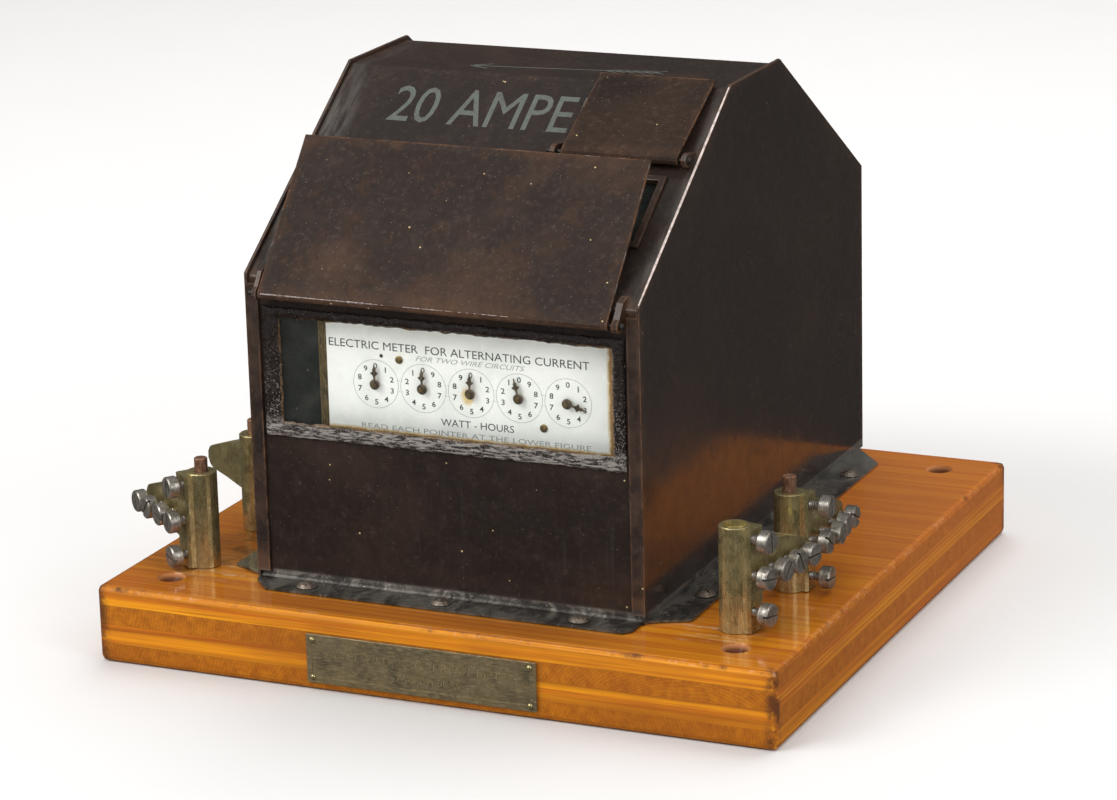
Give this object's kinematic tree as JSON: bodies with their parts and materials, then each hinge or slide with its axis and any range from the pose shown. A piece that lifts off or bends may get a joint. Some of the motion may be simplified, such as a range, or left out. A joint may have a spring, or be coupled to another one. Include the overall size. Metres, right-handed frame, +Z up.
{
  "type": "electric meter",
  "caption": "Dial electric meter: sheet-metal case with hinged flaps and glazed dial window on a laminated board, brass wire terminals each side, geared movement inside.",
  "frame": {"origin": "centre of the board's underside", "axes": "+Z up, +X to the right seen from the dial side, +Y from the dial side to the back"},
  "size_m": [0.3273, 0.3075, 0.2482],
  "materials": {
    "varnished_wood": "varnished laminated board, glossy",
    "japanned_sheet": "dark brown japan lacquer, semi-gloss, worn edges",
    "flap_japan": "brown japan lacquer, matte and blotchy",
    "black_putty": "lumpy black-brown sealing putty, glossy",
    "window_glass": "clear pane",
    "aged_brass": "aged olive brass",
    "movement_brass": "satin brass",
    "bare_steel": "turned steel",
    "screw_iron": "dull iron",
    "dark_wire": "dark drawn wire",
    "copper": "tarnished copper",
    "white_enamel": "glossy white enamel",
    "dark_bronze": "dark bronze",
    "dark_iron": "dark painted iron",
    "coil_winding": "varnished winding"
  },
  "bodies": {
    "case": {"base_board": "varnished_wood", "nameplate": "aged_brass", "case_wrapper": "japanned_sheet", "case_left_side": "japanned_sheet", "case_right_side": "japanned_sheet", "case_screw_1": "screw_iron", "case_screw_2": "screw_iron", "case_screw_3": "screw_iron", "case_screw_4": "screw_iron", "case_screw_5": "screw_iron", "case_screw_6": "screw_iron", "case_screw_7": "screw_iron", "dial_window_glass": "window_glass", "dial_window_putty": "black_putty", "disc_window_glass": "window_glass", "disc_window_frame": "japanned_sheet", "disc_flap_hinge_pin": "dark_wire", "access_flap_hinge_pin": "dark_wire", "terminal_right_front": "aged_brass", "terminal_right_front_screw_top": "bare_steel", "terminal_right_front_screw_low": "bare_steel", "terminal_right_back": "aged_brass", "terminal_right_back_screw_top": "bare_steel", "terminal_right_back_screw_low": "bare_steel", "terminal_right_back_rod": "copper", "terminal_left_front": "aged_brass", "terminal_left_front_screw_top": "bare_steel", "terminal_left_front_screw_low": "bare_steel", "terminal_left_front_rod": "copper", "terminal_left_back": "aged_brass", "terminal_left_back_screw_top": "bare_steel", "terminal_left_back_screw_low": "bare_steel", "terminal_left_back_rod": "copper", "dial_plate": "white_enamel", "register_front_plate": "movement_brass", "register_back_plate": "movement_brass", "mechanism_frame": "dark_iron", "top_bearing": "movement_brass", "bottom_bearing": "movement_brass", "brake_magnet": "dark_iron", "current_core": "dark_iron", "current_coil": "coil_winding", "voltage_core": "dark_iron", "voltage_coil": "coil_winding"},
    "disc_flap": {"disc_window_flap": "flap_japan"},
    "access_door": {"access_flap": "flap_japan"},
    "rotor": {"rotor_disc": "copper", "rotor_spindle": "bare_steel"},
    "worm_shaft": {"worm_wheel_arbor": "movement_brass"},
    "dial_1_shaft": {"register_arbor_1": "movement_brass", "pointer_1": "dark_bronze"},
    "dial_2_shaft": {"register_arbor_2": "movement_brass", "pointer_2": "dark_bronze"},
    "dial_3_shaft": {"register_arbor_3": "movement_brass", "pointer_3": "dark_bronze"},
    "dial_4_shaft": {"register_arbor_4": "movement_brass", "pointer_4": "dark_bronze"},
    "dial_5_shaft": {"register_arbor_5": "movement_brass", "pointer_5": "dark_bronze"}
  },
  "joints": [
    {"name": "disc_flap_hinge", "type": "hinge", "parent": "case", "child": "disc_flap", "pos_m": [0, -0.1226, 0.16661], "axis": [1, 0, 0], "range_deg": [0, 180]},
    {"name": "access_door_hinge", "type": "hinge", "parent": "case", "child": "access_door", "pos_m": [0, -0.05391, 0.22209], "axis": [1, 0, 0], "range_deg": [0, 100]},
    {"name": "rotor_spin", "type": "hinge", "parent": "case", "child": "rotor", "pos_m": [-0.0045, -0.002, 0.1], "axis": [0, 0, 1], "continuous": true},
    {"name": "worm_shaft_spin", "type": "hinge", "parent": "case", "child": "worm_shaft", "pos_m": [0.0224, 0, 0.1268], "axis": [0, 1, 0], "continuous": true},
    {"name": "dial_5_spin", "type": "hinge", "parent": "case", "child": "dial_5_shaft", "pos_m": [0.05029, -0.1, 0.1268], "axis": [0, 1, 0], "continuous": true},
    {"name": "dial_4_spin", "type": "hinge", "parent": "case", "child": "dial_4_shaft", "pos_m": [0.02762, -0.1, 0.1268], "axis": [0, 1, 0], "continuous": true},
    {"name": "dial_3_spin", "type": "hinge", "parent": "case", "child": "dial_3_shaft", "pos_m": [0.00495, -0.1, 0.1268], "axis": [0, 1, 0], "continuous": true},
    {"name": "dial_2_spin", "type": "hinge", "parent": "case", "child": "dial_2_shaft", "pos_m": [-0.01772, -0.1, 0.1268], "axis": [0, 1, 0], "continuous": true},
    {"name": "dial_1_spin", "type": "hinge", "parent": "case", "child": "dial_1_shaft", "pos_m": [-0.04039, -0.1, 0.1268], "axis": [0, 1, 0], "continuous": true}
  ],
  "couplings": [
    {"joint": "worm_shaft_spin", "follows": "rotor_spin", "ratio": -0.02},
    {"joint": "dial_5_spin", "follows": "rotor_spin", "ratio": 0.004},
    {"joint": "dial_4_spin", "follows": "rotor_spin", "ratio": -0.0004},
    {"joint": "dial_3_spin", "follows": "rotor_spin", "ratio": 0.00004},
    {"joint": "dial_2_spin", "follows": "rotor_spin", "ratio": -0.000004},
    {"joint": "dial_1_spin", "follows": "rotor_spin", "ratio": 0.0000004}
  ]
}
